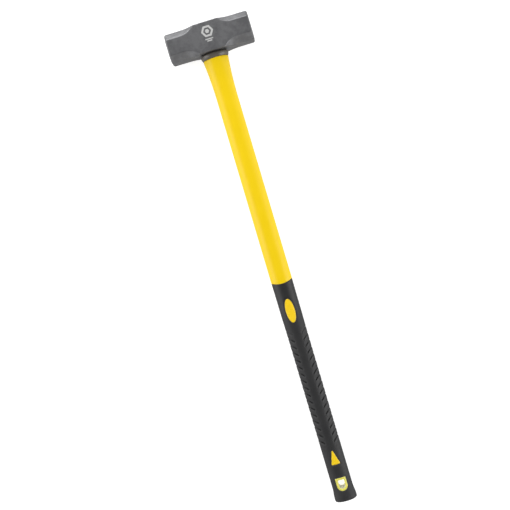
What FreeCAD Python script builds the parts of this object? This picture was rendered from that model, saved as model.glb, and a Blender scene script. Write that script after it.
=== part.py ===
"""Sledgehammer with a bonded fibreglass handle, as an assembly of separate solids.

Frame, in millimetres: the hammer lies on one cheek of its head. The origin is on the surface
it lies on, under the middle of the head. +X runs along the handle towards the butt, Y runs
along the head from one striking face to the other, and +Z is up. The hammer is the same on
both sides of its two mid-planes.
"""

import math
import os

import FreeCAD
import Part

Vector = FreeCAD.Vector

# Driving dimensions of the whole tool
OVERALL_LENGTH = 900.0
HEAD_LENGTH = 156.5      # from one striking face to the other
HEAD_SIDE = 54.0         # square section of the head

# Head forging
CORNER_CHAMFER = 12.4    # leg of the large corner chamfers, which leave octagonal ends
CHAMFER_INNER = 22.8     # where the run-out of a corner chamfer starts, from mid-length
CHAMFER_FULL = 48.0      # where a corner chamfer reaches its full depth
FACE_BEVEL = 2.4         # bevel round each striking face
FORGED_RADIUS = 1.0      # softened long edges of the forging
EYE_MOUTH = (41.0, 29.0)     # width and depth of the oval eye at both faces of the head
EYE_WAIST = (37.0, 25.0)     # the same at its narrowest, half way through

# Fibreglass core, a flat-sided rod with round edges
CORE_WIDTH = 26.0
CORE_DEPTH = 17.0
CORE_RECESS = 0.5        # how far its cut end lies under the top of the head
CORE_KEY_DEPTH = 0.8     # bonding grooves turned round the rod inside the eye
CORE_KEY_WIDTH = 3.0
CORE_KEY_COUNT = 3
CORE_KEY_PITCH = 11.0

# Epoxy bond and collar
EPOXY_RECESS = 1.0       # how far the resin sinks under the top of the head as it cures
COLLAR_LENGTH = 11.0     # visible length under the head
COLLAR_SPIGOT = 6.0      # lip that closes the eye against the liquid resin
COLLAR_TOP = (50.6, 39.8)
COLLAR_BULGE = 1.3       # how far the middle of the collar swells
NECK = (47.0, 37.0)      # width and depth where collar and jacket meet

# Yellow jacket
SHAFT = (39.2, 30.0)     # width and depth of the straight part
FLARE_LENGTH = 75.0      # from the neck to the straight part
JACKET_CORE = (31.5, 22.5)   # section under the grip
JACKET_END_GAP = 6.0     # rubber left over the end of the jacket
CORE_END_GAP = 50.0      # from the end of the core to the butt

# Black grip
GRIP_LENGTH = 414.3      # measured at the sides of the handle
GRIP_ARC_DEPTH = 4.6     # how far the yellow jacket bows into the grip, front and back
GRIP_TOP = (39.0, 29.8)
GRIP_UPPER = (38.3, 29.3)
GRIP_BODY = (37.6, 28.6)
GRIP_BUTT = (40.8, 31.4)
GRIP_UPPER_LENGTH = 60.0     # smooth upper part, which holds the oval inlay
GRIP_TAPER_LENGTH = 45.0     # from the upper part to the body
BUTT_FLARE_START = 26.0      # from the butt
BUTT_FLARE_END = 6.5
BUTT_RADIUS = 3.8

# Inlays in the grip, given from the butt end
INLAY_PROUD = 0.4
OVAL_CENTRE = 358.4
OVAL_LENGTH = 43.8
OVAL_WIDTH = 16.4
TRIANGLE_BASE = 69.4
TRIANGLE_HEIGHT = 28.0
TRIANGLE_WIDTH = 16.4
TRIANGLE_CORNER = 1.0
LINER_TOP = 43.9
LINER_LENGTH = 24.0
LINER_WIDTH = 19.4
LINER_CORNER = 1.5
HOLE_WIDTH = 11.6
HOLE_LENGTH = 16.4
HOLE_CORNER = 1.5

# Places along X
AXIS_HEIGHT = HEAD_SIDE / 2
HEAD_TOP = -HEAD_SIDE / 2
HEAD_UNDERSIDE = HEAD_SIDE / 2
BUTT = HEAD_TOP + OVERALL_LENGTH
NECK_PLACE = HEAD_UNDERSIDE + COLLAR_LENGTH
GRIP_START = BUTT - GRIP_LENGTH
CORE_END = BUTT - CORE_END_GAP
THROUGH = 2 * HEAD_SIDE  # longer than anything it has to cut through


def at(x, y, z):
    """A point whose y and z are measured from the axis of the handle."""
    return Vector(x, y, AXIS_HEIGHT + z)


def oval_wire(x, width, depth):
    """Elliptical section of the handle across X."""
    ellipse = Part.Ellipse(at(x, width / 2, 0), at(x, 0, depth / 2), at(x, 0, 0))
    return Part.Wire(ellipse.toShape())


def oval_loft(stations):
    """Solid through elliptical sections, each given as (x, width, depth)."""
    return Part.makeLoft([oval_wire(*station) for station in stations], True, False)


def oval_bar(x_start, x_end, width, depth):
    """Straight bar of one elliptical section."""
    return Part.Face(oval_wire(x_start, width, depth)).extrude(Vector(x_end - x_start, 0, 0))


def rod(x_start, x_end, width, depth):
    """Straight bar with flat sides and half-round edges."""
    radius = depth / 2
    flat = width / 2 - radius
    corners = [at(x_start, -flat, radius), at(x_start, flat, radius),
               at(x_start, flat, -radius), at(x_start, -flat, -radius)]
    edges = [
        Part.LineSegment(corners[0], corners[1]),
        Part.Arc(corners[1], at(x_start, width / 2, 0), corners[2]),
        Part.LineSegment(corners[2], corners[3]),
        Part.Arc(corners[3], at(x_start, -width / 2, 0), corners[0]),
    ]
    wire = Part.Wire([edge.toShape() for edge in edges])
    return Part.Face(wire).extrude(Vector(x_end - x_start, 0, 0))


def blend_sections(start, end, x_start, x_end, steps, ease):
    """Stations between two sections, as eased by a function from 0..1 to 0..1."""
    stations = []
    for step in range(steps + 1):
        share = step / steps
        mix = ease(share)
        stations.append((
            x_start + share * (x_end - x_start),
            start[0] + mix * (end[0] - start[0]),
            start[1] + mix * (end[1] - start[1]),
        ))
    return stations


def ease_out(share):
    return 1 - (1 - share) ** 2


def ease_both(share):
    return share * share * (3 - 2 * share)


def plan_prism(edges):
    """Prism through the whole depth of the handle from an outline in the XY plane."""
    wire = Part.Wire([edge.toShape() for edge in edges])
    prism = Part.Face(wire).extrude(Vector(0, 0, THROUGH))
    prism.translate(Vector(0, 0, AXIS_HEIGHT - THROUGH / 2))
    return prism


# ---------------------------------------------------------------- head

def corner_cutter():
    """Cutter for one corner chamfer, laid along +Y with its curved run-out.

    Its profile lies in the plane of Y and the corner's bisector: the flat chamfer from the
    striking face inwards, then an arc that is tangent to it and leaves through the corner.
    """
    corner = HEAD_SIDE / 2 * math.sqrt(2)
    flat = (HEAD_SIDE - CORNER_CHAMFER) / math.sqrt(2)
    rise = corner - flat
    run = CHAMFER_FULL - CHAMFER_INNER
    radius = (run ** 2 + rise ** 2) / (2 * rise)
    turn = math.asin(run / radius) / 2
    past_face = HEAD_LENGTH / 2 + 10
    past_corner = corner + 10

    def spot(y, out):
        return Vector(0, y, out)

    inner = spot(CHAMFER_INNER, corner)
    middle = spot(CHAMFER_FULL - radius * math.sin(turn), flat + radius * (1 - math.cos(turn)))
    full = spot(CHAMFER_FULL, flat)
    outline = [
        Part.Arc(inner, middle, full),
        Part.LineSegment(full, spot(past_face, flat)),
        Part.LineSegment(spot(past_face, flat), spot(past_face, past_corner)),
        Part.LineSegment(spot(past_face, past_corner), spot(CHAMFER_INNER, past_corner)),
        Part.LineSegment(spot(CHAMFER_INNER, past_corner), inner),
    ]
    wire = Part.Wire([edge.toShape() for edge in outline])
    cutter = Part.Face(wire).extrude(Vector(HEAD_SIDE, 0, 0))
    cutter.translate(Vector(-HEAD_SIDE / 2, 0, 0))
    return cutter


def eye_cavity():
    """The oval eye: widest at both faces of the head, narrowest half way through."""
    halves = [
        Part.makeLoft([oval_wire(HEAD_TOP, *EYE_MOUTH), oval_wire(0, *EYE_WAIST)], True, True),
        Part.makeLoft([oval_wire(0, *EYE_WAIST), oval_wire(HEAD_UNDERSIDE, *EYE_MOUTH)],
                      True, True),
    ]
    return halves[0].fuse(halves[1])


def soften(shape):
    """Bevels the striking faces, then rounds the long edges of the forging."""
    half = HEAD_LENGTH / 2
    rims = [edge for edge in shape.Edges
            if all(abs(abs(vertex.Y) - half) < 1e-6 for vertex in edge.Vertexes)]
    bevelled = shape.makeChamfer(FACE_BEVEL, rims)
    long_edges = [edge for edge in bevelled.Edges
                  if edge.Curve.TypeId == "Part::GeomLine"
                  and abs(edge.tangentAt(edge.FirstParameter).y) > 0.99]
    return bevelled.makeFillet(FORGED_RADIUS, long_edges)


def make_head():
    block = Part.makeBox(HEAD_SIDE, HEAD_LENGTH, HEAD_SIDE,
                         Vector(HEAD_TOP, -HEAD_LENGTH / 2, 0))
    cutters = []
    for half_turn in (0, 180):
        for corner in range(4):
            cutter = corner_cutter()
            cutter.rotate(Vector(0, 0, 0), Vector(0, 0, 1), half_turn)
            cutter.rotate(Vector(0, 0, 0), Vector(0, 1, 0), 45 + 90 * corner)
            cutter.translate(Vector(0, 0, AXIS_HEIGHT))
            cutters.append(cutter)
    forging = soften(block.cut(cutters).removeSplitter())
    return forging.cut(eye_cavity())


# ------------------------------------------------- core, bond and collar

def make_core():
    core = rod(HEAD_TOP + CORE_RECESS, CORE_END, CORE_WIDTH, CORE_DEPTH)
    keys = []
    for index in range(CORE_KEY_COUNT):
        start = (index - (CORE_KEY_COUNT - 1) / 2) * CORE_KEY_PITCH - CORE_KEY_WIDTH / 2
        end = start + CORE_KEY_WIDTH
        ring = rod(start, end, CORE_WIDTH + 2, CORE_DEPTH + 2)
        neck = rod(start, end, CORE_WIDTH - 2 * CORE_KEY_DEPTH, CORE_DEPTH - 2 * CORE_KEY_DEPTH)
        keys.append(ring.cut(neck))
    return core.cut(keys)


def slab(x_start, x_end):
    """Everything between two places along X."""
    return Part.makeBox(x_end - x_start, 2 * THROUGH, 2 * THROUGH,
                        Vector(x_start, -THROUGH, AXIS_HEIGHT - THROUGH))


def make_epoxy(core):
    resin = slab(HEAD_TOP + EPOXY_RECESS, HEAD_UNDERSIDE - COLLAR_SPIGOT)
    return eye_cavity().common(resin).cut(core)


def make_collar(core):
    middle = tuple((top + neck) / 2 + 2 * COLLAR_BULGE for top, neck in zip(COLLAR_TOP, NECK))
    ring = oval_loft([
        (HEAD_UNDERSIDE, *COLLAR_TOP),
        (HEAD_UNDERSIDE + COLLAR_LENGTH / 2, *middle),
        (NECK_PLACE, *NECK),
    ])
    spigot = eye_cavity().common(slab(HEAD_UNDERSIDE - COLLAR_SPIGOT, HEAD_UNDERSIDE))
    return ring.fuse(spigot).cut(core)


# ---------------------------------------------------------------- handle

def boundary_prism():
    """The part of space on the head's side of the line where yellow meets black."""
    half = THROUGH / 2
    chord = SHAFT[0]
    sagitta = GRIP_ARC_DEPTH
    radius = (chord ** 2 / 4 + sagitta ** 2) / (2 * sagitta)
    centre = GRIP_START + sagitta - radius
    start = radius - math.sqrt(radius ** 2 - chord ** 2 / 4)
    side = GRIP_START + sagitta - start
    corners = [Vector(side, chord / 2, 0), Vector(side, half, 0), Vector(0, half, 0),
               Vector(0, -half, 0), Vector(side, -half, 0), Vector(side, -chord / 2, 0)]
    edges = [Part.LineSegment(corners[i], corners[i + 1]) for i in range(len(corners) - 1)]
    edges.append(Part.Arc(corners[-1], Vector(centre + radius, 0, 0), corners[0]))
    return plan_prism(edges)


def jacket_envelope():
    """Outside of the yellow jacket, past the line where the grip takes over."""
    flare_end = NECK_PLACE + FLARE_LENGTH
    flare = oval_loft(blend_sections(NECK, SHAFT, NECK_PLACE, flare_end, 6, ease_out))
    shaft = oval_bar(flare_end, GRIP_START + 2 * GRIP_ARC_DEPTH, *SHAFT)
    return flare.fuse(shaft)


def grip_envelope(grow=0.0):
    """Outside of the grip, or a copy that stands proud of it by grow all round."""
    def grown(section):
        return (section[0] + 2 * grow, section[1] + 2 * grow)

    upper_end = GRIP_START + GRIP_UPPER_LENGTH
    taper_end = upper_end + GRIP_TAPER_LENGTH
    flare_start = BUTT - BUTT_FLARE_START
    flare_end = BUTT - BUTT_FLARE_END
    top = blend_sections(grown(GRIP_TOP), grown(GRIP_UPPER), GRIP_START, upper_end, 3, ease_out)
    taper = blend_sections(grown(GRIP_UPPER), grown(GRIP_BODY), upper_end, taper_end, 3,
                           ease_both)
    flare = blend_sections(grown(GRIP_BODY), grown(GRIP_BUTT), flare_start, flare_end, 4,
                           ease_both)
    parts = [oval_loft(top + taper[1:]),
             oval_bar(taper_end, flare_start, *grown(GRIP_BODY)),
             oval_loft(flare),
             oval_bar(flare_end, BUTT, *grown(GRIP_BUTT))]
    whole = parts[0].fuse(parts[1:])
    rim = [edge for edge in whole.Edges
           if all(abs(vertex.X - BUTT) < 1e-6 for vertex in edge.Vertexes)]
    return whole.makeFillet(BUTT_RADIUS, rim)


def make_jacket(core, liner_hole):
    exposed = jacket_envelope().common(boundary_prism())
    hidden = oval_bar(GRIP_START - 2, BUTT - JACKET_END_GAP, *JACKET_CORE)
    return exposed.fuse(hidden).removeSplitter().cut([core, liner_hole])


def make_grip(jacket_and_core, windows):
    sleeve = grip_envelope().cut(boundary_prism())
    return sleeve.cut(jacket_and_core).cut(windows)


# ---------------------------------------------------------------- inlays

def rounded_outline(corners, radii):
    """Closed outline of straight sides with a tangent arc of its own radius at each corner."""
    edges = []
    count = len(corners)
    ends = []
    for index in range(count):
        here = corners[index]
        back = (corners[index - 1] - here).normalize()
        ahead = (corners[(index + 1) % count] - here).normalize()
        half_angle = back.getAngle(ahead) / 2
        radius = radii[index]
        reach = radius / math.tan(half_angle)
        start = here + back * reach
        end = here + ahead * reach
        bisector = (back + ahead).normalize()
        middle = here + bisector * (radius / math.sin(half_angle) - radius)
        edges.append(Part.Arc(start, middle, end))
        ends.append((start, end))
    for index in range(count):
        start = ends[index][1]
        end = ends[(index + 1) % count][0]
        if start.distanceToPoint(end) > 1e-6:
            edges.append(Part.LineSegment(start, end))
    ordered = Part.sortEdges([edge.toShape() for edge in edges])[0]
    return Part.Wire(ordered)


def wire_prism(wire):
    prism = Part.Face(wire).extrude(Vector(0, 0, THROUGH))
    prism.translate(Vector(0, 0, AXIS_HEIGHT - THROUGH / 2))
    return prism


def oval_prism():
    centre = Vector(BUTT - OVAL_CENTRE, 0, 0)
    ellipse = Part.Ellipse(centre + Vector(OVAL_LENGTH / 2, 0, 0),
                           centre + Vector(0, OVAL_WIDTH / 2, 0), centre)
    return wire_prism(Part.Wire(ellipse.toShape()))


def triangle_prism():
    base = BUTT - TRIANGLE_BASE
    corners = [Vector(base - TRIANGLE_HEIGHT, 0, 0), Vector(base, TRIANGLE_WIDTH / 2, 0),
               Vector(base, -TRIANGLE_WIDTH / 2, 0)]
    return wire_prism(rounded_outline(corners, [TRIANGLE_CORNER] * 3))


def shield_prism(top, length, width, corner):
    """Prism with a square end towards the head and a half-round end towards the butt."""
    half = width / 2
    round_start = top + length - half
    corners = [Vector(top, half, 0), Vector(top, -half, 0)]
    edges = [
        Part.LineSegment(Vector(top + corner, half, 0), Vector(round_start, half, 0)),
        Part.Arc(Vector(round_start, half, 0), Vector(top + length, 0, 0),
                 Vector(round_start, -half, 0)),
        Part.LineSegment(Vector(round_start, -half, 0), Vector(top + corner, -half, 0)),
        Part.LineSegment(Vector(top, -half + corner, 0), Vector(top, half - corner, 0)),
    ]
    slant = corner * (1 - math.sqrt(0.5))
    for spot, side in zip(corners, (1, -1)):
        edges.append(Part.Arc(spot + Vector(corner, 0, 0),
                              spot + Vector(slant, -side * slant, 0),
                              spot + Vector(0, -side * corner, 0)))
    ordered = Part.sortEdges([edge.toShape() for edge in edges])[0]
    return wire_prism(Part.Wire(ordered))


def half_space(side):
    """Everything in front of the handle's mid-plane (side 1) or behind it (side -1)."""
    low = AXIS_HEIGHT if side > 0 else AXIS_HEIGHT - THROUGH
    return Part.makeBox(2 * OVERALL_LENGTH, 2 * THROUGH, THROUGH,
                        Vector(-OVERALL_LENGTH / 2, -THROUGH, low))


def make_inlay(prism, skin, jacket_and_core, side):
    """One inlay: it stands on the jacket and just proud of the grip round it."""
    return prism.common(skin).cut(jacket_and_core).common(half_space(side))


def main():
    core = make_core()
    liner_block = shield_prism(BUTT - LINER_TOP, LINER_LENGTH, LINER_WIDTH, LINER_CORNER)
    wall = (LINER_LENGTH - HOLE_LENGTH) / 2
    hang_hole = shield_prism(BUTT - LINER_TOP + wall, HOLE_LENGTH, HOLE_WIDTH, HOLE_CORNER)
    jacket = make_jacket(core, liner_block)
    inside = jacket.fuse(core)
    skin = grip_envelope(INLAY_PROUD)
    oval, triangle = oval_prism(), triangle_prism()

    parts = {
        "head": make_head(),
        "fibreglass_core": core,
        "epoxy_bond": make_epoxy(core),
        "neck_collar": make_collar(core),
        "handle_jacket": jacket,
        "grip_sleeve": make_grip(inside, [oval, triangle, liner_block]),
        "hang_hole_liner": liner_block.common(skin).cut(hang_hole),
    }
    for label, side in (("front", 1), ("back", -1)):
        parts["oval_inlay_" + label] = make_inlay(oval, skin, inside, side)
        parts["triangle_inlay_" + label] = make_inlay(triangle, skin, inside, side)

    os.makedirs("parts", exist_ok=True)
    for name, shape in parts.items():
        solids = shape.Solids
        if len(solids) != 1 or not shape.isValid():
            print("CHECK", name, "solids", len(solids), "valid", shape.isValid())
        solids[0].exportStep(os.path.join("parts", name + ".step"))
        print(f"{name}: {shape.Volume / 1000:.2f} cm3")


main()
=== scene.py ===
"""Sledgehammer: a forged head bonded to a moulded fibreglass handle with a ribbed rubber grip.

Everything is in metres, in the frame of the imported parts: the hammer lies on one cheek of its
head, +X runs along the handle towards the butt, Y along the head, and +Z is up.
"""

import math

import bmesh
import bpy
from bpy.props import FloatProperty, FloatVectorProperty, IntProperty, PointerProperty
from mathutils import Matrix, Vector


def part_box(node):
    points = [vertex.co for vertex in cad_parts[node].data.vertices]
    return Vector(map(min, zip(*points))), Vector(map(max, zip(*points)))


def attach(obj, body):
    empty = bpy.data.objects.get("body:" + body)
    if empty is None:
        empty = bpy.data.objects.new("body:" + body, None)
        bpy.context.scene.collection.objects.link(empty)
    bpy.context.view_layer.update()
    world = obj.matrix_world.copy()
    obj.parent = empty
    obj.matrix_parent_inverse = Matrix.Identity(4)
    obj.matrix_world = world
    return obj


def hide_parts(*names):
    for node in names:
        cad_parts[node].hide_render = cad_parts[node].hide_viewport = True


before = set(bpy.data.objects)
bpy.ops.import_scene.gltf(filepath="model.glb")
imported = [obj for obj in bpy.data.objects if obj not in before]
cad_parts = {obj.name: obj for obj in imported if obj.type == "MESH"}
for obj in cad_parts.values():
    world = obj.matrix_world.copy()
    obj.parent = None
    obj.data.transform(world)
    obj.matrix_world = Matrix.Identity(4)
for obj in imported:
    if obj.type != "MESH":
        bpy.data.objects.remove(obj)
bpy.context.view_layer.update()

bl_info = {
    "name": "Sledgehammer",
    "version": (1, 0, 0),
    "blender": (4, 5, 0),
    "location": "3D View > Sidebar > Sledgehammer",
    "description": "Finishes the packed sledgehammer with detailed pieces and materials",
    "category": "Object",
}

MM = 0.001
MERGE_DISTANCE = 0.002 * MM
TUBE_COLUMNS = 96

HEAD_LOW, HEAD_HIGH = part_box("head")
GRIP_LOW, GRIP_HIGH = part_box("grip_sleeve")
JACKET_LOW, JACKET_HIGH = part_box("handle_jacket")
OVAL_LOW, OVAL_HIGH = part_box("oval_inlay_front")
TRIANGLE_LOW, TRIANGLE_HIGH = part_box("triangle_inlay_front")
LINER_LOW, LINER_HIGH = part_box("hang_hole_liner")
AXIS_HEIGHT = (HEAD_LOW.z + HEAD_HIGH.z) / 2
BUTT = GRIP_HIGH.x
GRIP_START = GRIP_LOW.x

# the flared end of the grip: where the flare starts and ends before the butt, and its edge
FLARE_LENGTH = 26 * MM
WIDEST_BAND = 6.5 * MM
BUTT_RADIUS = 3.8 * MM


# ------------------------------------------------------------- settings

def length(name, description, default):
    """A length in metres that a user can change."""
    return FloatProperty(name=name, description=description, default=default, min=0.0,
                         unit="LENGTH", precision=5)


def colour(name, description, default):
    """A linear colour."""
    return FloatVectorProperty(name=name, description=description, default=default,
                               subtype="COLOR", size=3, min=0.0, max=1.0)


class HeadSettings(bpy.types.PropertyGroup):
    """Sizes and colours of the forged head."""

    skin_cell: length("Skin cell", "Size of the mesh cells of the forging", 0.8 * MM)
    dent_depth: length("Dent depth", "Unevenness left by the forging dies", 0.3 * MM)
    dent_size: length("Dent size", "Width of one dent", 14 * MM)
    softening: IntProperty(name="Softening", description="Rounds of smoothing on the edges",
                           default=3, min=0, max=40)
    lacquer: colour("Lacquer", "Grey lacquer over the forged skin", (0.175, 0.176, 0.182))
    lacquer_dark: colour("Dark lacquer", "Where the lacquer lies thick", (0.120, 0.121, 0.126))
    bare_steel: colour("Bare steel", "Worn edges and ground faces", (0.42, 0.41, 0.40))
    mark: colour("Mark", "Pale generic stamp on the cheek", (0.52, 0.52, 0.51))


class HandleSettings(bpy.types.PropertyGroup):
    """Sizes and colours of the jacket, the grip and their inlays."""

    shaft_width: length("Shaft width", "Width of the straight yellow part", 39.2 * MM)
    shaft_depth: length("Shaft depth", "Depth of the straight yellow part", 30.0 * MM)
    flare_length: length("Flare length", "From the neck to the straight part", 75.0 * MM)
    hidden_width: length("Hidden width", "Width of the jacket inside the grip", 31.5 * MM)
    hidden_depth: length("Hidden depth", "Depth of the jacket inside the grip", 22.5 * MM)
    joint_arc: length("Joint arc", "How far the jacket bows into the grip", 4.6 * MM)
    edge_radius: length("Edge radius", "Rounding at both sides of the joint", 0.7 * MM)
    collar_groove: length("Collar groove", "Depth of the groove under the head", 1.6 * MM)
    neck_radius: length("Neck radius", "Rounding of the jacket against the collar", 1.3 * MM)
    upper_width: length("Upper width", "Width of the grip beside the oval", 38.3 * MM)
    upper_depth: length("Upper depth", "Depth of the grip beside the oval", 29.3 * MM)
    body_width: length("Body width", "Width of the grip at its ribs", 37.6 * MM)
    body_depth: length("Body depth", "Depth of the grip at its ribs", 28.6 * MM)
    rib_pitch: length("Rib pitch", "From one rib to the next", 12.8 * MM)
    rib_depth: length("Rib depth", "Depth of the grooves between the ribs", 1.9 * MM)
    rib_slope: FloatProperty(name="Rib slope", description="Slant of the ribs across the grip",
                             default=math.radians(40), subtype="ANGLE")
    rib_count: IntProperty(name="Rib count", description="Ribs on each side", default=17,
                           min=1, max=40)
    band_width: length("Band width", "Smooth band between the ribs", 15.0 * MM)
    window_gap: length("Window gap", "Gap between an inlay and the rubber", 0.3 * MM)
    window_dip: length("Window dip", "How far the rubber sinks round an inlay", 0.5 * MM)
    jacket: colour("Jacket", "Yellow polypropylene", (0.770, 0.535, 0.001))
    grip: colour("Grip", "Black rubber", (0.0125, 0.0125, 0.0132))
    inlay: colour("Inlay", "Yellow inlays", (0.800, 0.540, 0.008))
    liner: colour("Liner", "Pale yellow liner of the hang hole", (0.640, 0.590, 0.105))
    collar: colour("Collar", "Dark plastic collar", (0.085, 0.075, 0.060))


class StageSettings(bpy.types.PropertyGroup):
    """Camera, floor and light."""

    camera_distance: length("Camera distance", "From the axis of the handle", 1.70)
    camera_along: length("Camera along", "Place along the handle", 0.4000)
    camera_aside: FloatProperty(name="Camera aside", description="Place beside the handle",
                                default=-0.0331, unit="LENGTH")
    camera_lens: FloatProperty(name="Lens", description="Focal length in millimetres",
                               default=66.00)
    handle_slant: FloatProperty(name="Handle slant", description="Handle against the vertical",
                                default=math.radians(16.55), subtype="ANGLE")
    camera_roll: FloatProperty(name="Sideways view", description="Camera round the handle",
                               default=math.radians(-2.5), subtype="ANGLE")
    floor: colour("Floor", "Pale floor", (0.45, 0.45, 0.45))
    floor_glow: FloatProperty(name="Floor glow", description="Light of the floor's own",
                              default=0.80)
    key_power: FloatProperty(name="Key power", description="Main lamp in watts", default=98.0)
    fill_power: FloatProperty(name="Fill power", description="Fill lamp in watts", default=78.0)
    side_power: FloatProperty(name="Side power", description="Lamp beside the key in watts",
                              default=52.0)
    sky_low: FloatProperty(name="Low sky", description="Light from the horizon", default=1.40)
    sky_high: FloatProperty(name="High sky", description="Light from above", default=0.37)
    sky_under: FloatProperty(name="Under sky", description="Light from below", default=0.60)


# ------------------------------------------------------- modelling helps

def pick(piece):
    """Leaves only this piece selected and active, in object mode."""
    if bpy.context.object and bpy.context.object.mode != "OBJECT":
        bpy.ops.object.mode_set(mode="OBJECT")
    bpy.ops.object.select_all(action="DESELECT")
    if piece:
        piece.select_set(True)
        bpy.context.view_layer.objects.active = piece


def rename(piece, name):
    piece.name = name
    piece.data.name = name
    return piece


def modify(piece, kind, **settings):
    """Adds one modifier and applies it."""
    pick(piece)
    bpy.ops.object.modifier_add(type=kind)
    modifier = piece.modifiers[-1]
    for key, value in settings.items():
        setattr(modifier, key, value)
    bpy.ops.object.modifier_apply(modifier=modifier.name)


def cut(piece, *tools):
    """Takes the tools out of the piece and throws them away."""
    for tool in tools:
        modify(piece, "BOOLEAN", operation="DIFFERENCE", solver="EXACT", object=tool)
        bpy.data.objects.remove(tool, do_unlink=True)


def smooth(piece, degrees):
    pick(piece)
    bpy.ops.object.shade_smooth_by_angle(angle=math.radians(degrees))


def close_up(piece, outwards=True):
    """Merges doubled points and, if asked, turns every face outwards."""
    pick(piece)
    bpy.ops.object.mode_set(mode="EDIT")
    bpy.ops.mesh.select_all(action="SELECT")
    bpy.ops.mesh.remove_doubles(threshold=MERGE_DISTANCE)
    if outwards:
        bpy.ops.mesh.normals_make_consistent(inside=False)
    bpy.ops.object.mode_set(mode="OBJECT")


def drop_folds(piece):
    """Cuts the faces into triangles and takes out pairs that lie flat on each other."""
    mesh = bmesh.new()
    mesh.from_mesh(piece.data)
    bmesh.ops.triangulate(mesh, faces=mesh.faces)
    by_corners = {}
    for face in mesh.faces:
        by_corners.setdefault(frozenset(vert.index for vert in face.verts), []).append(face)
    folded = [face for faces in by_corners.values() if len(faces) > 1 for face in faces]
    bmesh.ops.delete(mesh, geom=folded, context="FACES")
    mesh.to_mesh(piece.data)
    mesh.free()


def place_in_mesh(piece):
    pick(piece)
    bpy.ops.object.transform_apply(location=True, rotation=True, scale=True)


def copy_part(node, name):
    """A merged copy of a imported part, as a start for a softened one."""
    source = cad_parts[node]
    piece = bpy.data.objects.new(name, source.data.copy())
    bpy.context.scene.collection.objects.link(piece)
    rename(piece, name)
    piece.data.materials.clear()
    close_up(piece, outwards=False)
    return piece


def soften(piece, cell, rounds):
    """Rounds every edge of a closed piece, as forging and moulding leave it."""
    modify(piece, "REMESH", mode="VOXEL", voxel_size=cell, use_smooth_shade=True)
    modify(piece, "SMOOTH", factor=0.5, iterations=rounds)
    return piece


def draw_tube(name, stations):
    """Closed bar through oval sections, each (x, half width, half depth), extruded in turn."""
    pick(None)
    bpy.ops.mesh.primitive_circle_add(vertices=TUBE_COLUMNS, radius=1.0, fill_type="NGON",
                                      rotation=(0, math.radians(90), 0))
    piece = rename(bpy.context.object, name)
    place_in_mesh(piece)
    bpy.ops.object.mode_set(mode="EDIT")
    bpy.ops.mesh.select_all(action="SELECT")
    x, wide, deep = stations[0]
    bpy.ops.transform.resize(value=(1, wide, deep), center_override=(0, 0, 0))
    bpy.ops.transform.translate(value=(x, 0, AXIS_HEIGHT))
    for next_x, next_wide, next_deep in stations[1:]:
        bpy.ops.mesh.extrude_region_move(TRANSFORM_OT_translate={"value": (next_x - x, 0, 0)})
        bpy.ops.transform.resize(value=(1, next_wide / wide, next_deep / deep),
                                 center_override=(next_x, 0, AXIS_HEIGHT))
        x, wide, deep = next_x, next_wide, next_deep
    bpy.ops.object.mode_set(mode="OBJECT")
    close_up(piece)
    return piece


def push(piece, amount, direction, weight_at):
    """Moves the surface along an axis or its normal by amount times a weight from 0 to 1."""
    group = piece.vertex_groups.new(name="push")
    for vertex in piece.data.vertices:
        weight = weight_at(vertex.co)
        if weight > 0:
            group.add([vertex.index], min(weight, 1.0), "REPLACE")
    modify(piece, "DISPLACE", direction=direction, strength=amount, mid_level=0.0,
           vertex_group=group.name)
    piece.vertex_groups.remove(piece.vertex_groups["push"])


def step(value, low, high):
    """Smooth step from 0 at low to 1 at high."""
    mix = min(max((value - low) / (high - low), 0.0), 1.0)
    return mix * mix * (3 - 2 * mix)


def oval_run(start, end, x_start, x_end, count, ease):
    """Stations from one section (half width, half depth) to another."""
    run = []
    for index in range(count + 1):
        along = index / count
        mix = ease(along)
        run.append((x_start + along * (x_end - x_start),
                    start[0] + mix * (end[0] - start[0]),
                    start[1] + mix * (end[1] - start[1])))
    return run


def round_edge(x, section, radius, way, count=5):
    """Quarter-round stations at an end face at x. way is 1 where the bar starts there."""
    run = []
    for index in range(count + 1):
        turn = math.radians(90) * index / count
        inset = radius * (1 - math.sin(turn))
        run.append((x + way * radius * (1 - math.cos(turn)),
                    section[0] - inset, section[1] - inset))
    return run if way > 0 else run[::-1]


def joint_arc(co, handle):
    """Shape of the line where jacket and grip meet: 1 in the middle, 0 at the sides."""
    half = handle.shaft_width / 2
    rise = handle.joint_arc
    radius = (half ** 2 + rise ** 2) / (2 * rise)
    across = min(abs(co.y), half)
    return (math.sqrt(radius ** 2 - across ** 2) - (radius - rise)) / rise


# --------------------------------------------------------- window shapes

def oval_distance(x, y):
    """Distance outside the oval window, roughly, in metres."""
    half_long = (OVAL_HIGH.x - OVAL_LOW.x) / 2
    half_wide = (OVAL_HIGH.y - OVAL_LOW.y) / 2
    centre = (OVAL_HIGH.x + OVAL_LOW.x) / 2
    return (math.hypot((x - centre) / half_long, y / half_wide) - 1) * half_wide


def triangle_distance(x, y):
    """Distance outside the triangular window, which points at the head."""
    half_wide = (TRIANGLE_HIGH.y - TRIANGLE_LOW.y) / 2
    tall = TRIANGLE_HIGH.x - TRIANGLE_LOW.x
    side = math.hypot(half_wide, tall)
    slanted = (abs(y) * tall - (x - TRIANGLE_LOW.x) * half_wide) / side
    return max(slanted, x - TRIANGLE_HIGH.x)


def liner_distance(x, y):
    """Distance outside the hang hole's liner: square end, then a half round."""
    half_wide = (LINER_HIGH.y - LINER_LOW.y) / 2
    middle = LINER_HIGH.x - half_wide
    if x > middle:
        return math.hypot(x - middle, y) - half_wide
    return max(abs(y) - half_wide, LINER_LOW.x - x)


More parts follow.
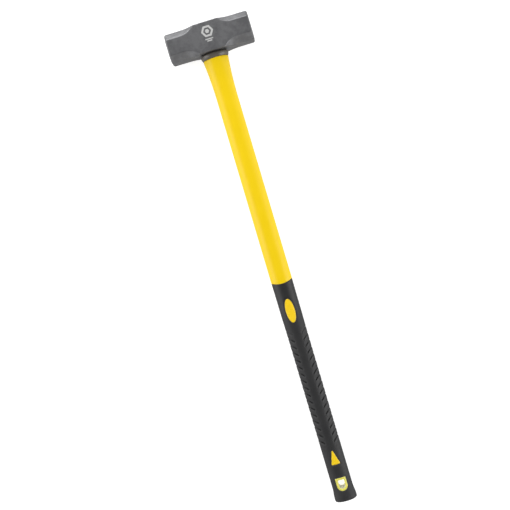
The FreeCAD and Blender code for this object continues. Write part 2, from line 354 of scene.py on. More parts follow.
def prism(name, corners, rounding):
    """Upright prism through the whole handle over an outline of (x, y) corners."""
    pick(None)
    bpy.ops.mesh.primitive_circle_add(vertices=len(corners), radius=1.0, fill_type="NGON")
    piece = rename(bpy.context.object, name)
    for vertex, (x, y) in zip(piece.data.vertices, corners):
        vertex.co = (x, y, -AXIS_HEIGHT)
    bpy.ops.object.mode_set(mode="EDIT")
    bpy.ops.mesh.select_all(action="SELECT")
    if rounding:
        bpy.ops.mesh.bevel(offset=rounding, segments=4, affect="VERTICES")
    bpy.ops.mesh.select_all(action="SELECT")
    bpy.ops.mesh.extrude_region_move(TRANSFORM_OT_translate={"value": (0, 0, 4 * AXIS_HEIGHT)})
    bpy.ops.object.mode_set(mode="OBJECT")
    close_up(piece)
    return piece


def oval_corners(gap, count=72):
    centre = (OVAL_HIGH.x + OVAL_LOW.x) / 2
    long = (OVAL_HIGH.x - OVAL_LOW.x) / 2 + gap
    wide = (OVAL_HIGH.y - OVAL_LOW.y) / 2 + gap
    turns = [2 * math.pi * index / count for index in range(count)]
    return [(centre + long * math.cos(turn), wide * math.sin(turn)) for turn in turns]


def triangle_corners(gap):
    """The three sides of the triangle moved out by the gap."""
    half = (TRIANGLE_HIGH.y - TRIANGLE_LOW.y) / 2
    tall = TRIANGLE_HIGH.x - TRIANGLE_LOW.x
    base = TRIANGLE_HIGH.x + gap
    point = TRIANGLE_LOW.x - gap * math.hypot(half, tall) / half
    flank = half / tall * (base - point)
    return [(point, 0), (base, -flank), (base, flank)]


def liner_corners(gap, count=24):
    half = (LINER_HIGH.y - LINER_LOW.y) / 2
    middle = LINER_HIGH.x - half
    reach = half + gap
    turns = [math.pi * (index / count - 0.5) for index in range(count + 1)]
    arc = [(middle + reach * math.cos(turn), reach * math.sin(turn)) for turn in turns]
    return arc + [(LINER_LOW.x - gap, reach), (LINER_LOW.x - gap, -reach)]


# -------------------------------------------------------- material helps

def node(tree, kind, **settings):
    made = tree.nodes.new(kind)
    for key, value in settings.items():
        setattr(made, key, value)
    return made


def feed(tree, socket, value):
    """Links a socket or sets a constant."""
    if isinstance(value, bpy.types.NodeSocket):
        tree.links.new(value, socket)
    else:
        socket.default_value = value


def calc(tree, operation, *values, clamp=False):
    made = node(tree, "ShaderNodeMath", operation=operation, use_clamp=clamp)
    for socket, value in zip(made.inputs, values):
        feed(tree, socket, value)
    return made.outputs[0]


def blend_colours(tree, mask, first, second):
    made = node(tree, "ShaderNodeMix", data_type="RGBA")
    feed(tree, made.inputs[0], mask)
    feed(tree, made.inputs[6], first if isinstance(first, bpy.types.NodeSocket) else (*first, 1))
    feed(tree, made.inputs[7],
         second if isinstance(second, bpy.types.NodeSocket) else (*second, 1))
    return made.outputs[2]


def blend_values(tree, mask, first, second):
    made = node(tree, "ShaderNodeMix", data_type="FLOAT")
    feed(tree, made.inputs[0], mask)
    feed(tree, made.inputs[2], first)
    feed(tree, made.inputs[3], second)
    return made.outputs[0]


def ramp(tree, value, low, high):
    """Maps low..high to 0..1, clamped and smoothed."""
    made = node(tree, "ShaderNodeMapRange", interpolation_type="SMOOTHSTEP")
    feed(tree, made.inputs["Value"], value)
    feed(tree, made.inputs["From Min"], low)
    feed(tree, made.inputs["From Max"], high)
    return made.outputs["Result"]


def noise(tree, vector, scale, detail=3.0, rough=0.5):
    made = node(tree, "ShaderNodeTexNoise")
    feed(tree, made.inputs["Vector"], vector)
    feed(tree, made.inputs["Scale"], scale)
    made.inputs["Detail"].default_value = detail
    made.inputs["Roughness"].default_value = rough
    return made.outputs["Fac"]


def group_tree(name, inputs, outputs):
    """A shader node group with named float inputs and outputs, and its two end nodes."""
    tree = bpy.data.node_groups.new(name, "ShaderNodeTree")
    for label, default in inputs.items():
        socket = tree.interface.new_socket(label, in_out="INPUT", socket_type="NodeSocketFloat")
        socket.default_value = default
    for label in outputs:
        tree.interface.new_socket(label, in_out="OUTPUT", socket_type="NodeSocketFloat")
    return tree, node(tree, "NodeGroupInput").outputs, node(tree, "NodeGroupOutput").inputs


def moulded_skin():
    """Orange peel of a moulded surface, with slow variation of its gloss."""
    if "Moulded Skin" in bpy.data.node_groups:
        return bpy.data.node_groups["Moulded Skin"]
    tree, given, out = group_tree(
        "Moulded Skin", {"Grain Scale": 900.0, "Grain Depth": 1.0}, ["Height", "Gloss"])
    place = node(tree, "ShaderNodeTexCoord").outputs["Object"]
    grain = noise(tree, place, given["Grain Scale"], 2.0)
    slow = noise(tree, place, 38.0, 3.0)
    feed(tree, out["Height"], calc(tree, "MULTIPLY", grain, given["Grain Depth"]))
    feed(tree, out["Gloss"], slow)
    return tree


def edge_wear_and_shade():
    """Mask from the surface's pointiness, broken up by noise: edges that use rubs bare (on the
    grip also a painted sheen), and with lower limits the grooves that get painted shade.
    """
    if "Edge Wear" in bpy.data.node_groups:
        return bpy.data.node_groups["Edge Wear"]
    tree, given, out = group_tree(
        "Edge Wear", {"Start": 0.52, "End": 0.60, "Break Up": 0.03}, ["Mask"])
    place = node(tree, "ShaderNodeTexCoord").outputs["Object"]
    edges = node(tree, "ShaderNodeNewGeometry").outputs["Pointiness"]
    rough = calc(tree, "SUBTRACT", noise(tree, place, 260.0, 5.0, 0.65), 0.5)
    broken = calc(tree, "ADD", edges, calc(tree, "MULTIPLY", rough, given["Break Up"]))
    feed(tree, out["Mask"], ramp(tree, broken, given["Start"], given["End"]))
    return tree


def dust_film():
    """Mask of handling marks and dust: large soft clouds with fine specks in them."""
    if "Dust Film" in bpy.data.node_groups:
        return bpy.data.node_groups["Dust Film"]
    tree, given, out = group_tree("Dust Film", {"Scale": 30.0, "Cover": 0.5}, ["Mask"])
    place = node(tree, "ShaderNodeTexCoord").outputs["Object"]
    clouds = noise(tree, place, given["Scale"], 4.0, 0.6)
    specks = noise(tree, place, 1400.0, 2.0)
    edge = calc(tree, "SUBTRACT", 1.0, given["Cover"])
    soft = ramp(tree, clouds, calc(tree, "MULTIPLY", edge, 0.7), calc(tree, "ADD", edge, 0.3))
    feed(tree, out["Mask"], calc(tree, "MULTIPLY", soft, ramp(tree, specks, 0.35, 0.75)))
    return tree


def place_group(tree, group, **values):
    made = node(tree, "ShaderNodeGroup", node_tree=group)
    for label, value in values.items():
        made.inputs[label.replace("_", " ")].default_value = value
    return made.outputs


def new_material(name):
    """A material with only its output and its principled shader."""
    material = bpy.data.materials.new(name)
    material.use_nodes = True
    tree = material.node_tree
    tree.nodes.clear()
    shader = node(tree, "ShaderNodeBsdfPrincipled")
    tree.links.new(shader.outputs[0], node(tree, "ShaderNodeOutputMaterial").inputs["Surface"])
    return material, tree, shader.inputs


def bump(tree, shader, height, distance, strength=1.0):
    made = node(tree, "ShaderNodeBump")
    made.inputs["Strength"].default_value = strength
    made.inputs["Distance"].default_value = distance
    tree.links.new(height, made.inputs["Height"])
    tree.links.new(made.outputs["Normal"], shader["Normal"])


def object_axes(tree):
    place = node(tree, "ShaderNodeTexCoord").outputs["Object"]
    split = node(tree, "ShaderNodeSeparateXYZ")
    tree.links.new(place, split.inputs[0])
    return place, split.outputs[0], split.outputs[1], split.outputs[2]


def moulded_plastic(name, base, roughness, grain_depth, seam=False, dust=0.0, shine=0.5,
                    glow=0.0, painted_lit_wall=None):
    """Moulded plastic: slight colour drift, orange peel, a parting line at its sides, and, if
    given, a paler colour painted on a hole's inner wall as painted light.
    """
    material, tree, shader = new_material(name)
    _, _, _, z = object_axes(tree)
    skin = place_group(tree, moulded_skin(), Grain_Depth=grain_depth)
    drift = blend_colours(tree, skin["Gloss"], [0.94 * part for part in base], base)
    off = calc(tree, "ABSOLUTE", calc(tree, "SUBTRACT", z, AXIS_HEIGHT))
    # Painted light: near the handle's middle height, on the hang hole's shaded inner wall, the
    # colour turns to the much paler given one.
    if painted_lit_wall:
        drift = blend_colours(tree, ramp(tree, off, 11.5 * MM, 12.8 * MM), painted_lit_wall, drift)
    film = place_group(tree, dust_film(), Cover=dust)
    worn = calc(tree, "MULTIPLY", film["Mask"], 0.12)
    feed(tree, shader["Base Color"], blend_colours(tree, worn, drift, (0.55, 0.52, 0.45)))
    rough = blend_values(tree, skin["Gloss"], roughness * 0.8, roughness * 1.25)
    feed(tree, shader["Roughness"], calc(tree, "ADD", rough, worn))
    shader["Specular IOR Level"].default_value = shine
    shader["Subsurface Weight"].default_value = glow
    shader["Subsurface Radius"].default_value = (12 * MM, 10 * MM, 5 * MM)
    shader["Subsurface Scale"].default_value = 1.0
    height = skin["Height"]
    if seam:
        line = calc(tree, "SUBTRACT", 1.0, ramp(tree, off, 0.1 * MM, 0.35 * MM))
        height = calc(tree, "ADD", height, calc(tree, "MULTIPLY", line, 2.5))
    bump(tree, shader, height, 0.03 * MM)
    return material


# ----------------------------------------------------- object materials

def stamp_mask(tree, x, y, z):
    """Worn pale mark on the upper cheek: a plain hexagon in a hexagon, and two short bars."""
    centre_x = -8.6 * MM
    outline_start, outline_end, centre_end = 6.4 * MM, 9.8 * MM, 3.4 * MM
    bars = ((13.2, 7.2), (16.6, 4.6))  # place and half length, in mm
    bar_width = 1.9
    no_limit = -1.0
    away = calc(tree, "SUBTRACT", x, centre_x)
    across = calc(tree, "ABSOLUTE", y)
    slanted = calc(tree, "ADD", calc(tree, "MULTIPLY", calc(tree, "ABSOLUTE", away), 0.5),
                   calc(tree, "MULTIPLY", across, math.sqrt(0.75)))
    span = calc(tree, "MAXIMUM", calc(tree, "ABSOLUTE", away), slanted)
    blur = 0.25 * MM

    def inside(value, low, high):
        above = ramp(tree, value, low - blur, low + blur)
        below = calc(tree, "SUBTRACT", 1.0, ramp(tree, value, high - blur, high + blur))
        return calc(tree, "MULTIPLY", above, below)

    outline = inside(span, outline_start, outline_end)
    centre = inside(span, no_limit, centre_end)
    mask = calc(tree, "ADD", outline, centre, clamp=True)
    for start, half in bars:
        bar = calc(tree, "MULTIPLY", inside(away, start * MM, (start + bar_width) * MM),
                   inside(across, no_limit, half * MM))
        mask = calc(tree, "ADD", mask, bar, clamp=True)
    on_top = ramp(tree, z, HEAD_HIGH.z - 1.5 * MM, HEAD_HIGH.z - 1.0 * MM)
    return calc(tree, "MULTIPLY", mask, on_top)


def head_material(head):
    """Thin grey lacquer on forged steel, rubbed bare at the edges, ground at the faces."""
    material, tree, shader = new_material("head_lacquer")
    place, x, y, z = object_axes(tree)
    mottle = noise(tree, place, 95.0, 5.0, 0.6)
    clouds = noise(tree, place, 22.0, 3.0)
    thick = ramp(tree, calc(tree, "ADD", mottle, clouds), 0.75, 1.25)
    paint = blend_colours(tree, thick, head.lacquer, head.lacquer_dark)
    face = ramp(tree, calc(tree, "ABSOLUTE", y), HEAD_HIGH.y - 0.9 * MM, HEAD_HIGH.y - 0.5 * MM)
    wear = place_group(tree, edge_wear_and_shade(), Start=0.535, End=0.60, Break_Up=0.05)["Mask"]
    bare = calc(tree, "MAXIMUM", calc(tree, "MULTIPLY", wear, 0.55),
                calc(tree, "MULTIPLY", face, 0.7))
    metal = blend_colours(tree, bare, paint, head.bare_steel)
    worn_stamp = ramp(tree, noise(tree, place, 1100.0, 4.0, 0.7), 0.24, 0.46)
    stamp = calc(tree, "MULTIPLY", stamp_mask(tree, x, y, z), worn_stamp)
    stamp = calc(tree, "MULTIPLY", stamp, 0.85)
    feed(tree, shader["Base Color"], blend_colours(tree, stamp, metal, head.mark))
    coating = calc(tree, "SUBTRACT", 0.72, calc(tree, "MULTIPLY", stamp, 0.72))
    feed(tree, shader["Metallic"], coating)
    film = place_group(tree, dust_film(), Scale=55.0, Cover=0.45)["Mask"]
    rough = blend_values(tree, mottle, 0.36, 0.52)
    feed(tree, shader["Roughness"], calc(tree, "ADD", rough, calc(tree, "MULTIPLY", film, 0.1)))
    rings = node(tree, "ShaderNodeTexWave", wave_type="RINGS", rings_direction="Y")
    centred = node(tree, "ShaderNodeMapping")
    centred.inputs["Location"].default_value = (0, 0, -AXIS_HEIGHT)
    tree.links.new(place, centred.inputs["Vector"])
    tree.links.new(centred.outputs[0], rings.inputs["Vector"])
    rings.inputs["Scale"].default_value = 320.0
    rings.inputs["Distortion"].default_value = 1.5
    grinding = calc(tree, "MULTIPLY", calc(tree, "MULTIPLY", rings.outputs["Fac"], face), 0.25)
    scale_pits = noise(tree, place, 330.0, 6.0, 0.7)
    height = calc(tree, "ADD", calc(tree, "ADD", scale_pits, grinding),
                  calc(tree, "MULTIPLY", mottle, 0.8))
    bump(tree, shader, height, 0.10 * MM, 0.8)
    return material


def rubber_material(handle):
    """Black rubber: fine grain, rib tops painted paler partly as rubbing and partly as a painted
    sheen, painted shade in the grooves, dust lying in its clouds.
    """
    material, tree, shader = new_material("grip_rubber_ribbed")
    place, x, _, _ = object_axes(tree)
    skin = place_group(tree, moulded_skin(), Grain_Scale=1500.0, Grain_Depth=1.0)
    wear = place_group(tree, edge_wear_and_shade(), Start=0.50, End=0.58, Break_Up=0.02)["Mask"]
    film = place_group(tree, dust_film(), Scale=26.0, Cover=0.55)["Mask"]
    base = tuple(handle.grip)
    # Painted shade: the grooves between the ribs are darkened to 0.35 of the rubber's colour.
    groove_shade_mask = place_group(tree, edge_wear_and_shade(), Start=0.44, End=0.50, Break_Up=0.02)["Mask"]
    shaded = blend_colours(tree, groove_shade_mask, [0.35 * part for part in base], base)
    # Rib tops and sharp edges painted much paler: partly rubbing, partly a painted sheen.
    rubbed_and_sheen = blend_colours(tree, calc(tree, "MULTIPLY", wear, 0.8), shaded,
                           [3.6 * part for part in base])
    feed(tree, shader["Base Color"],
         blend_colours(tree, calc(tree, "MULTIPLY", film, 0.08), rubbed_and_sheen, (0.16, 0.16, 0.16)))
    ribbed = ramp(tree, x, OVAL_LOW.x, OVAL_HIGH.x + 20 * MM)
    rough = calc(tree, "ADD", blend_values(tree, skin["Gloss"], 0.36, 0.50),
                 calc(tree, "MULTIPLY", ribbed, 0.14))
    feed(tree, shader["Roughness"], calc(tree, "ADD", rough, calc(tree, "MULTIPLY", film, 0.15)))
    shader["Specular IOR Level"].default_value = 0.36
    bump(tree, shader, skin["Height"], 0.05 * MM)
    return material


def core_material():
    """Sawn glass fibre: bundles of fibres along the rod, straw-coloured resin."""
    material, tree, shader = new_material("fibreglass_rod")
    place, _, _, _ = object_axes(tree)
    along = node(tree, "ShaderNodeMapping")
    along.inputs["Scale"].default_value = (0.02, 1.0, 1.0)
    tree.links.new(place, along.inputs["Vector"])
    strands = noise(tree, along.outputs[0], 1800.0, 3.0)
    bundles = noise(tree, along.outputs[0], 420.0, 2.0)
    mix = ramp(tree, calc(tree, "ADD", strands, bundles), 0.75, 1.25)
    feed(tree, shader["Base Color"],
         blend_colours(tree, mix, (0.26, 0.21, 0.09), (0.50, 0.45, 0.28)))
    feed(tree, shader["Roughness"], blend_values(tree, strands, 0.45, 0.75))
    bump(tree, shader, strands, 0.08 * MM)
    return material


def resin_material():
    """Dark poured epoxy with a glossy skin and small bubbles."""
    material, tree, shader = new_material("poured_epoxy")
    place, _, _, _ = object_axes(tree)
    cells = node(tree, "ShaderNodeTexVoronoi")
    cells.inputs["Scale"].default_value = 420.0
    tree.links.new(place, cells.inputs["Vector"])
    bubbles = calc(tree, "SUBTRACT", 1.0, ramp(tree, cells.outputs["Distance"], 0.08, 0.2))
    slow = noise(tree, place, 120.0, 3.0)
    feed(tree, shader["Base Color"],
         blend_colours(tree, slow, (0.030, 0.026, 0.020), (0.060, 0.050, 0.036)))
    feed(tree, shader["Roughness"], blend_values(tree, slow, 0.16, 0.30))
    height = calc(tree, "SUBTRACT", slow, calc(tree, "MULTIPLY", bubbles, 0.5))
    bump(tree, shader, height, 0.15 * MM)
    return material


def finish_piece(piece, material, slot, *nodes):
    """Gives a piece its material and ties it to the frame."""
    piece.data.materials.clear()
    piece.data.materials.append(material)
    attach(piece, "root")
    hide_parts(*nodes)


def paint_part(node_name, material):
    """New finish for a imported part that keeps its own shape."""
    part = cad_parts[node_name]
    for slot in part.material_slots:
        slot.material = material


# -------------------------------------------------------------- pieces

class HAMMER_OT_head(bpy.types.Operator):
    """Forge the head: rounded edges, slight dents, lacquer, worn steel and a plain mark"""

    bl_idname = "hammer.head"
    bl_label = "Forged head"

    def execute(self, context):
        head = context.scene.hammer_head
        piece = soften(copy_part("head", "head_forging"), head.skin_cell, head.softening)
        dents = bpy.data.textures.new("forging_dents", type="CLOUDS")
        dents.noise_scale = head.dent_size
        dents.noise_depth = 2
        modify(piece, "DISPLACE", texture=dents, texture_coords="LOCAL", direction="NORMAL",
               strength=head.dent_depth, mid_level=1.0)
        finish_piece(piece, head_material(head), "head_steel", "head")
        return {"FINISHED"}


class HAMMER_OT_bond(bpy.types.Operator):
    """Finish what shows in the eye: the sawn fibreglass rod and the resin round it"""

    bl_idname = "hammer.bond"
    bl_label = "Rod and resin"

    def execute(self, context):
        piece = soften(copy_part("epoxy_bond", "epoxy_fill"), 0.6 * MM, 4)
        finish_piece(piece, resin_material(), "epoxy", "epoxy_bond")
        paint_part("fibreglass_core", core_material())
        return {"FINISHED"}


class HAMMER_OT_collar(bpy.types.Operator):
    """Mould the barrel-shaped collar between head and jacket"""

    bl_idname = "hammer.collar"
    bl_label = "Neck collar"

    def execute(self, context):
        handle = context.scene.hammer_handle
        piece = soften(copy_part("neck_collar", "collar_ring"), 0.5 * MM, 14)
        push(piece, -handle.collar_groove, "NORMAL", self.groove)
        material = moulded_plastic("collar_moulding", tuple(handle.collar), 0.34, 1.0, dust=0.4)
        finish_piece(piece, material, "collar_plastic", "neck_collar")
        return {"FINISHED"}

    def groove(self, co):
        """Neck of the ring, right under the head, outside the rod's bore."""
        half_deep = JACKET_HIGH.z - AXIS_HEIGHT
        outer = math.hypot(co.y / JACKET_HIGH.y, (co.z - AXIS_HEIGHT) / half_deep)
        if co.x < HEAD_HIGH.x or outer < 0.9:
            return 0.0
        return 1 - step(co.x, HEAD_HIGH.x + 1.8 * MM, HEAD_HIGH.x + 3.2 * MM)


class HAMMER_OT_jacket(bpy.types.Operator):
    """Mould the yellow jacket: flared neck, straight shaft, and the part inside the grip"""

    bl_idname = "hammer.jacket"
    bl_label = "Yellow jacket"

    def execute(self, context):
        handle = context.scene.hammer_handle
        shaft = (handle.shaft_width / 2, handle.shaft_depth / 2)
        hidden = (handle.hidden_width / 2, handle.hidden_depth / 2)
        neck = (JACKET_HIGH.y, (JACKET_HIGH.z - JACKET_LOW.z) / 2)
        start = JACKET_LOW.x
        flare_end = start + handle.flare_length
        edge, neck_edge = handle.edge_radius, handle.neck_radius
        stations = round_edge(start, neck, neck_edge, 1)
        stations += oval_run(neck, shaft, start + neck_edge, flare_end, 24,
                             lambda along: 1 - (1 - along) ** 2)[1:]
        stations += oval_run(shaft, shaft, flare_end, GRIP_START - edge, 60,
                             lambda along: along)[1:]
        stations += round_edge(GRIP_START, shaft, edge, -1)[1:]
        stations += [(GRIP_START, *hidden), (JACKET_HIGH.x, *hidden)]
        piece = draw_tube("yellow_jacket", stations)
        blend = 30 * MM
        push(piece, handle.joint_arc, "X",
             lambda co: joint_arc(co, handle) * step(co.x, GRIP_START - blend, GRIP_START)
             * (1 - step(co.x, GRIP_START + 1 * MM, GRIP_START + blend)))
        cut(piece, copy_part("fibreglass_core", "core_bore"),
            prism("liner_seat", liner_corners(0.05 * MM), 0))
        smooth(piece, 40)
        material = moulded_plastic("jacket_yellow", tuple(handle.jacket), 0.34, 1.0, seam=True,
                                   dust=0.12, shine=0.28)
        finish_piece(piece, material, "jacket_plastic", "handle_jacket")
        return {"FINISHED"}


class HAMMER_OT_grip(bpy.types.Operator):
    """Mould the rubber grip: chevron ribs, smooth bands, windows and a flared butt"""

    bl_idname = "hammer.grip"
    bl_label = "Ribbed grip"

    # groove and rib over one pitch: (share of the pitch, share of the groove's depth)
    RIB_PROFILE = ((0.0, 0.30), (0.07, 0.85), (0.14, 1.0), (0.21, 0.7), (0.28, 0.0),
                   (0.46, 0.05), (0.64, 0.12), (0.82, 0.20))
    UPPER_LENGTH = 60 * MM
    TAPER_LENGTH = 45 * MM
    RIBS_AFTER_OVAL = 21 * MM
    RING_SPACING = 1.25 * MM

    def execute(self, context):
        handle = context.scene.hammer_handle
        rib_start = OVAL_HIGH.x + self.RIBS_AFTER_OVAL
        rib_end = rib_start + handle.rib_count * handle.rib_pitch
        piece = draw_tube("grip_moulding", self.stations(handle, rib_start, rib_end))
        self.press_ribs(piece, handle, rib_start, rib_end)
        push(piece, handle.joint_arc, "X",
             lambda co: joint_arc(co, handle) * (1 - step(co.x, GRIP_START, GRIP_START + 40 * MM)))
        push(piece, -handle.window_dip, "NORMAL", self.window_falloff)
        self.cut_inside(piece, handle)
        smooth(piece, 50)
        finish_piece(piece, rubber_material(handle), "grip_rubber", "grip_sleeve")
        return {"FINISHED"}

    def stations(self, handle, rib_start, rib_end):
        """Rings along the grip, closer together where it carries detail."""
        top = (handle.shaft_width / 2 - 0.1 * MM, handle.shaft_depth / 2 - 0.1 * MM)
        upper = (handle.upper_width / 2, handle.upper_depth / 2)
        body = (handle.body_width / 2, handle.body_depth / 2)
        butt = (GRIP_HIGH.y, (GRIP_HIGH.z - GRIP_LOW.z) / 2)
        upper_end = GRIP_START + self.UPPER_LENGTH
        taper_end = upper_end + self.TAPER_LENGTH
        flare_start, flare_end = BUTT - FLARE_LENGTH, BUTT - WIDEST_BAND

        def section(x):
            if x < upper_end:
                left = 1 - (x - GRIP_START) / (upper_end - GRIP_START)
                mix, ends = 1 - left ** 2, (top, upper)
            elif x < flare_start:
                mix, ends = step(x, upper_end, taper_end), (upper, body)
            else:
                mix, ends = step(x, flare_start, flare_end), (body, butt)
            return tuple(first + mix * (last - first) for first, last in zip(*ends))

        fine = self.RING_SPACING
        places = []
        x = GRIP_START + handle.edge_radius + fine
        while x < rib_start - fine / 2:
            places.append(x)
            x += fine
        for index in range(handle.rib_count):
            base = rib_start + index * handle.rib_pitch
            places += [base + part * handle.rib_pitch for part, _ in self.RIB_PROFILE]
        x = rib_end
        while x < BUTT - BUTT_RADIUS - fine / 2:
            places.append(x)
            x += fine
        run = round_edge(GRIP_START, top, handle.edge_radius, 1)
        run += [(x, *section(x)) for x in places]
        return run + round_edge(BUTT, butt, BUTT_RADIUS, -1, 8)

    def press_ribs(self, piece, handle, rib_start, rib_end):
        """Sinks the grooves beside the smooth bands, then slants them into chevrons."""
        band = handle.band_width / 2
        half = handle.body_width / 2
        profile = list(self.RIB_PROFILE) + [(1.0, self.RIB_PROFILE[0][1])]

        def groove(co):
            if not rib_start - 0.01 * MM < co.x < rib_end - 0.01 * MM:
                return 0.0
            part = ((co.x - rib_start) / handle.rib_pitch + 1e-4) % 1.0
            nearest = min(profile, key=lambda item: abs(item[0] - part))
            inner = step(abs(co.y), band, band + 1.6 * MM)
            outer = 1 - 0.65 * step(abs(co.y), 0.72 * half, 0.98 * half)
            first = step(co.x, rib_start - 25 * MM, rib_start + 25 * MM)
            return nearest[1] * inner * outer * first

        def slant(co):
            side = max(abs(co.y) - band, 0.0) / (half - band)
            fade_in = step(co.x, rib_start - 45 * MM, rib_start - 5 * MM)
            fade_out = 1 - step(co.x, rib_end, rib_end + 40 * MM)
            return side * fade_in * fade_out

        push(piece, -handle.rib_depth, "NORMAL", groove)
        push(piece, -math.tan(handle.rib_slope) * (half - band), "X", slant)

    def window_falloff(self, co):
        """1 at the edge of a window, 0 a little way outside it."""
        nearest = min(oval_distance(co.x, co.y), triangle_distance(co.x, co.y),
                      liner_distance(co.x, co.y))
        return 1 - step(nearest, 0.2 * MM, 2.4 * MM)

    def cut_inside(self, piece, handle):
        """Opens the grip for the jacket, the inlays and the hang hole's liner."""
        hidden = (handle.hidden_width / 2, handle.hidden_depth / 2)
        gap = handle.window_gap
        jacket_hole = draw_tube(
            "jacket_hole", [(GRIP_START - 20 * MM, *hidden), (JACKET_HIGH.x, *hidden)])
        cut(piece, jacket_hole,
            prism("oval_window", oval_corners(gap), 0),
            prism("triangle_window", triangle_corners(gap), 1.2 * MM),
            prism("liner_window", liner_corners(gap), 0))
        close_up(piece)
        drop_folds(piece)


class HAMMER_OT_inlays(bpy.types.Operator):
    """Set the oval and triangular inlays into the grip, front and back"""

    bl_idname = "hammer.inlays"
    bl_label = "Inlays"

    def execute(self, context):
        handle = context.scene.hammer_handle
        material = moulded_plastic("inlay_yellow", tuple(handle.inlay), 0.26, 0.8, dust=0.3)
        for shape in ("oval", "triangle"):
            for side in ("front", "back"):
                source = f"{shape}_inlay_{side}"
                piece = soften(copy_part(source, f"{shape}_boss_{side}"), 0.35 * MM, 8)
                finish_piece(piece, material, "inlay_plastic", source)
        return {"FINISHED"}


class HAMMER_OT_liner(bpy.types.Operator):
    """Line the hang hole with its pale U-shaped moulding"""

    bl_idname = "hammer.liner"
    bl_label = "Hang hole liner"

    def execute(self, context):
        handle = context.scene.hammer_handle
        piece = soften(copy_part("hang_hole_liner", "hang_hole_rim"), 0.4 * MM, 6)
        # The pale wall colour is painted light on the hang hole's inner wall, which lies in shade.
        material = moulded_plastic("liner_pale_yellow", tuple(handle.liner), 0.3, 0.8, dust=0.1,
                                   glow=0.4, painted_lit_wall=(0.95, 0.93, 0.74))
        finish_piece(piece, material, "liner_plastic", "hang_hole_liner")
        return {"FINISHED"}


# --------------------------------------------------------------- stage

def look(back, up):
    """Rotation of a camera or lamp whose back and up directions are given."""
    right = up.cross(back).normalized()
    return Matrix((right, back.cross(right), back)).transposed().to_euler()


def add_lamp(name, place, aim, size, power):
    """Large soft rectangular lamp."""
    pick(None)
    bpy.ops.object.light_add(type="AREA", location=place)
    lamp = bpy.context.object
    lamp.name = name
    lamp.data.shape = "SQUARE"
    lamp.data.size = size
    lamp.data.energy = power
    lamp.rotation_euler = look((Vector(place) - Vector(aim)).normalized(), Vector((0, 1, 0.01)))


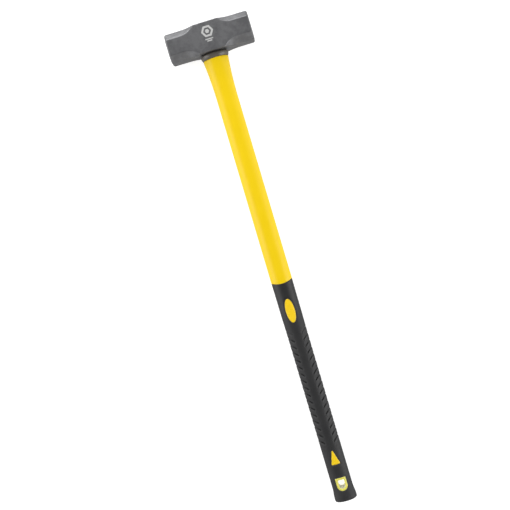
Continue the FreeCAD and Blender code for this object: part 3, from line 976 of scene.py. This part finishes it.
class HAMMER_OT_stage(bpy.types.Operator):
    """Set up the camera, the pale floor and the soft light"""

    bl_idname = "hammer.stage"
    bl_label = "Stage"

    LAMP_SIZE = 2.4
    FLOOR_SIZE = 12.0
    # place along the handle from the camera's, across it, and above the ground
    LAMPS = {"key": (-3.1, -0.4, 1.3), "fill": (1.2, 3.0, 1.7), "side": (-0.4, -3.0, 1.7)}

    def execute(self, context):
        stage = context.scene.hammer_stage
        self.add_camera(context, stage)
        self.add_floor(stage)
        middle = Vector((stage.camera_along, 0, AXIS_HEIGHT))
        for name, (along, across, above) in self.LAMPS.items():
            add_lamp(f"{name}_lamp", (middle.x + along, across, above), middle, self.LAMP_SIZE,
                     getattr(stage, f"{name}_power"))
        self.add_sky(context, stage)
        context.scene.view_settings.view_transform = "Standard"
        return {"FINISHED"}

    def add_camera(self, context, stage):
        roll, slant = stage.camera_roll, stage.handle_slant
        back = Vector((0, -math.sin(roll), math.cos(roll)))
        across = Vector((0, math.cos(roll), math.sin(roll)))
        up = Vector((-math.cos(slant), 0, 0)) + math.sin(slant) * across
        place = Vector((stage.camera_along, 0, AXIS_HEIGHT))
        place += stage.camera_aside * across + stage.camera_distance * back
        pick(None)
        bpy.ops.object.camera_add(location=place, rotation=look(back, up))
        camera = bpy.context.object
        camera.name = "camera"
        camera.data.lens = stage.camera_lens
        camera.data.sensor_width = 36.0
        context.scene.camera = camera

    def add_floor(self, stage):
        """Floor that the hammer really rests on: the cheek's lower edge and the butt."""
        rise = GRIP_LOW.z - HEAD_LOW.z
        reach = (BUTT - WIDEST_BAND) - HEAD_HIGH.x
        tilt = math.atan2(rise, reach)
        pick(None)
        bpy.ops.mesh.primitive_plane_add(size=self.FLOOR_SIZE, rotation=(0, -tilt, 0),
                                         location=(HEAD_HIGH.x, 0, HEAD_LOW.z))
        floor = rename(bpy.context.object, "floor")
        place_in_mesh(floor)
        material, tree, shader = new_material("pale_floor")
        place, _, _, _ = object_axes(tree)
        drift = noise(tree, place, 3.0, 2.0)
        pale = tuple(stage.floor)
        feed(tree, shader["Base Color"],
             blend_colours(tree, drift, pale, [1.02 * part for part in pale]))
        shader["Roughness"].default_value = 0.9
        shader["Emission Color"].default_value = (1, 1, 1, 1)
        shader["Emission Strength"].default_value = stage.floor_glow
        floor.data.materials.append(material)
        floor.visible_glossy = False

    def add_sky(self, context, stage):
        """Soft light from all round, brightest near the horizon."""
        world = bpy.data.worlds.new("soft_studio")
        world.use_nodes = True
        tree = world.node_tree
        tree.nodes.clear()
        split = node(tree, "ShaderNodeSeparateXYZ")
        tree.links.new(node(tree, "ShaderNodeTexCoord").outputs["Generated"], split.inputs[0])
        height = split.outputs[2]
        above = blend_values(tree, ramp(tree, height, 0.1, 0.9), stage.sky_low, stage.sky_high)
        below = ramp(tree, height, -0.75, -0.35)
        light = node(tree, "ShaderNodeBackground")
        feed(tree, light.inputs["Strength"], blend_values(tree, below, stage.sky_under, above))
        tree.links.new(light.outputs[0], node(tree, "ShaderNodeOutputWorld").inputs["Surface"])
        context.scene.world = world


# --------------------------------------------------------------- add-on

PIECES = (HAMMER_OT_stage, HAMMER_OT_head, HAMMER_OT_bond, HAMMER_OT_collar, HAMMER_OT_jacket,
          HAMMER_OT_grip, HAMMER_OT_inlays, HAMMER_OT_liner)


class HAMMER_PT_panel(bpy.types.Panel):
    """The hammer's pieces, in the sidebar"""

    bl_idname = "HAMMER_PT_panel"
    bl_label = "Sledgehammer"
    bl_space_type = "VIEW_3D"
    bl_region_type = "UI"
    bl_category = "Sledgehammer"

    def draw(self, context):
        for piece in PIECES:
            self.layout.operator(piece.bl_idname)
        for settings in ("hammer_head", "hammer_handle", "hammer_stage"):
            group = getattr(context.scene, settings)
            box = self.layout.box()
            for key in group.__annotations__:
                box.prop(group, key)


SETTINGS = {"hammer_head": HeadSettings, "hammer_handle": HandleSettings,
            "hammer_stage": StageSettings}


def register():
    for name, settings in SETTINGS.items():
        bpy.utils.register_class(settings)
        setattr(bpy.types.Scene, name, PointerProperty(type=settings))
    for operator in PIECES:
        bpy.utils.register_class(operator)
    bpy.utils.register_class(HAMMER_PT_panel)


def unregister():
    bpy.utils.unregister_class(HAMMER_PT_panel)
    for operator in reversed(PIECES):
        bpy.utils.unregister_class(operator)
    for name, settings in SETTINGS.items():
        delattr(bpy.types.Scene, name)
        bpy.utils.unregister_class(settings)


def main():
    register()
    for operator in PIECES:
        family, action = operator.bl_idname.split(".")
        getattr(getattr(bpy.ops, family), action)()


if __name__ == "__main__":
    main()
